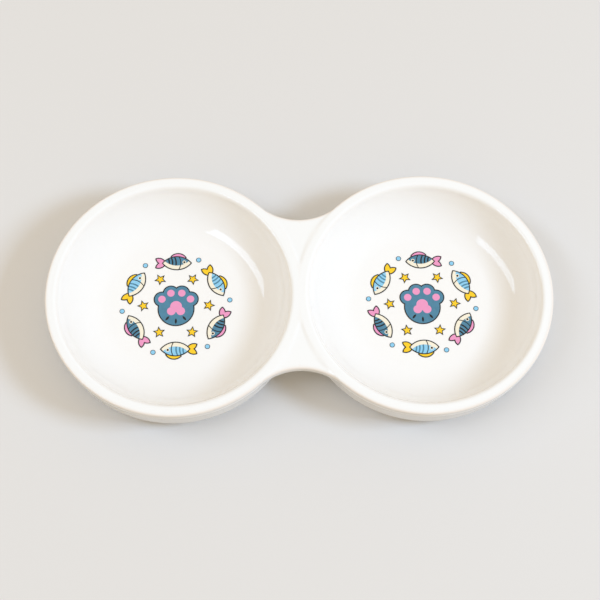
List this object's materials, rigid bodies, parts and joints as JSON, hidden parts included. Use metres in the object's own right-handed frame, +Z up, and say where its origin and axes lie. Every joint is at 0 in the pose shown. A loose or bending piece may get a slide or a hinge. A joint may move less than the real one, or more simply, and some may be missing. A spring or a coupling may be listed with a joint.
{
  "type": "double pet bowl",
  "caption": "Glazed ceramic double bowl for a small pet: round shallow bowls side by side, joined by flat webs, with a print on each floor.",
  "frame": {"origin": "middle of the base, on the surface that the foot rings stand on, halfway between the two bowls", "axes": "+X from the left bowl to the right bowl, +Y to the back, +Z up"},
  "size_m": [0.2706, 0.1368, 0.0279],
  "materials": {
    "clay": "fired stoneware, bare and matt on the foot rings",
    "glaze": "smooth white gloss glaze",
    "ink_black": "black ceramic ink, gloss",
    "ink_slate": "slate blue ceramic ink, gloss",
    "ink_pink": "pink ceramic ink, gloss",
    "ink_sky": "sky blue ceramic ink, gloss",
    "ink_yellow": "yellow ceramic ink, gloss",
    "ink_cream": "cream ceramic ink, gloss"
  },
  "bodies": {
    "root": {"left_bowl": "clay", "right_bowl": "clay", "front_web": "clay", "rear_web": "clay", "left_glaze": "glaze", "right_glaze": "glaze", "front_web_glaze": "glaze", "rear_web_glaze": "glaze", "left_print_black": "ink_black", "left_print_slate": "ink_slate", "left_print_pink": "ink_pink", "left_print_sky": "ink_sky", "left_print_yellow": "ink_yellow", "left_print_cream": "ink_cream", "right_print_black": "ink_black", "right_print_slate": "ink_slate", "right_print_pink": "ink_pink", "right_print_sky": "ink_sky", "right_print_yellow": "ink_yellow", "right_print_cream": "ink_cream"}
  },
  "joints": []
}
